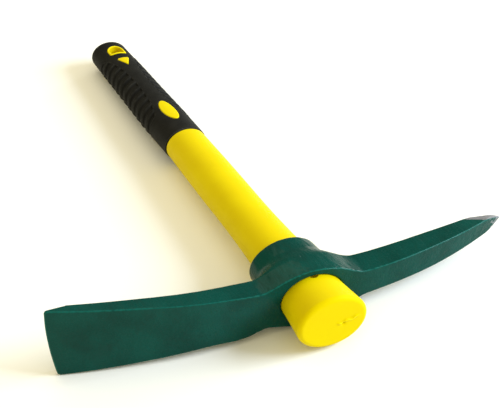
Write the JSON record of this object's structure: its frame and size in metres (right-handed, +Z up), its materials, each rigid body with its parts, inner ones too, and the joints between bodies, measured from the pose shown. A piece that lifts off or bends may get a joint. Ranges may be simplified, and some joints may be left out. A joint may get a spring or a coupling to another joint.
{
  "type": "hand pick",
  "caption": "Small pick mattock: a forged head with an adze blade and a pick arm, its oval eye slid onto a plastic-jacketed fibreglass handle with a rubber grip.",
  "frame": {"origin": "centre of the bounding box, at the floor the tool lies on", "axes": "+Y runs down the handle from the head to the grip, +X towards the pick's point, +Z up; the tool lies on its side, resting on the adze's lower corner, the underside of the eye and the end of the grip"},
  "size_m": [0.3198, 0.4004, 0.0499],
  "materials": {
    "painted_steel": "gloss forest-green paint on a forging, bare ground steel at the pick's tip",
    "fibreglass": "raw pultruded rod, sealed inside",
    "yellow_plastic": "satin moulded yellow polypropylene",
    "black_rubber": "matt black thermoplastic rubber, ribbed at the sides"
  },
  "bodies": {
    "handle": {"handle_jacket": "yellow_plastic", "fibreglass_core": "fibreglass", "rubber_grip": "black_rubber"},
    "head": {"pick_head": "painted_steel"}
  },
  "joints": [
    {"name": "head_slide", "type": "slide", "parent": "handle", "child": "head", "axis": [-0.0007, 0.9997, -0.0232], "range_m": [0, 0.37]}
  ]
}
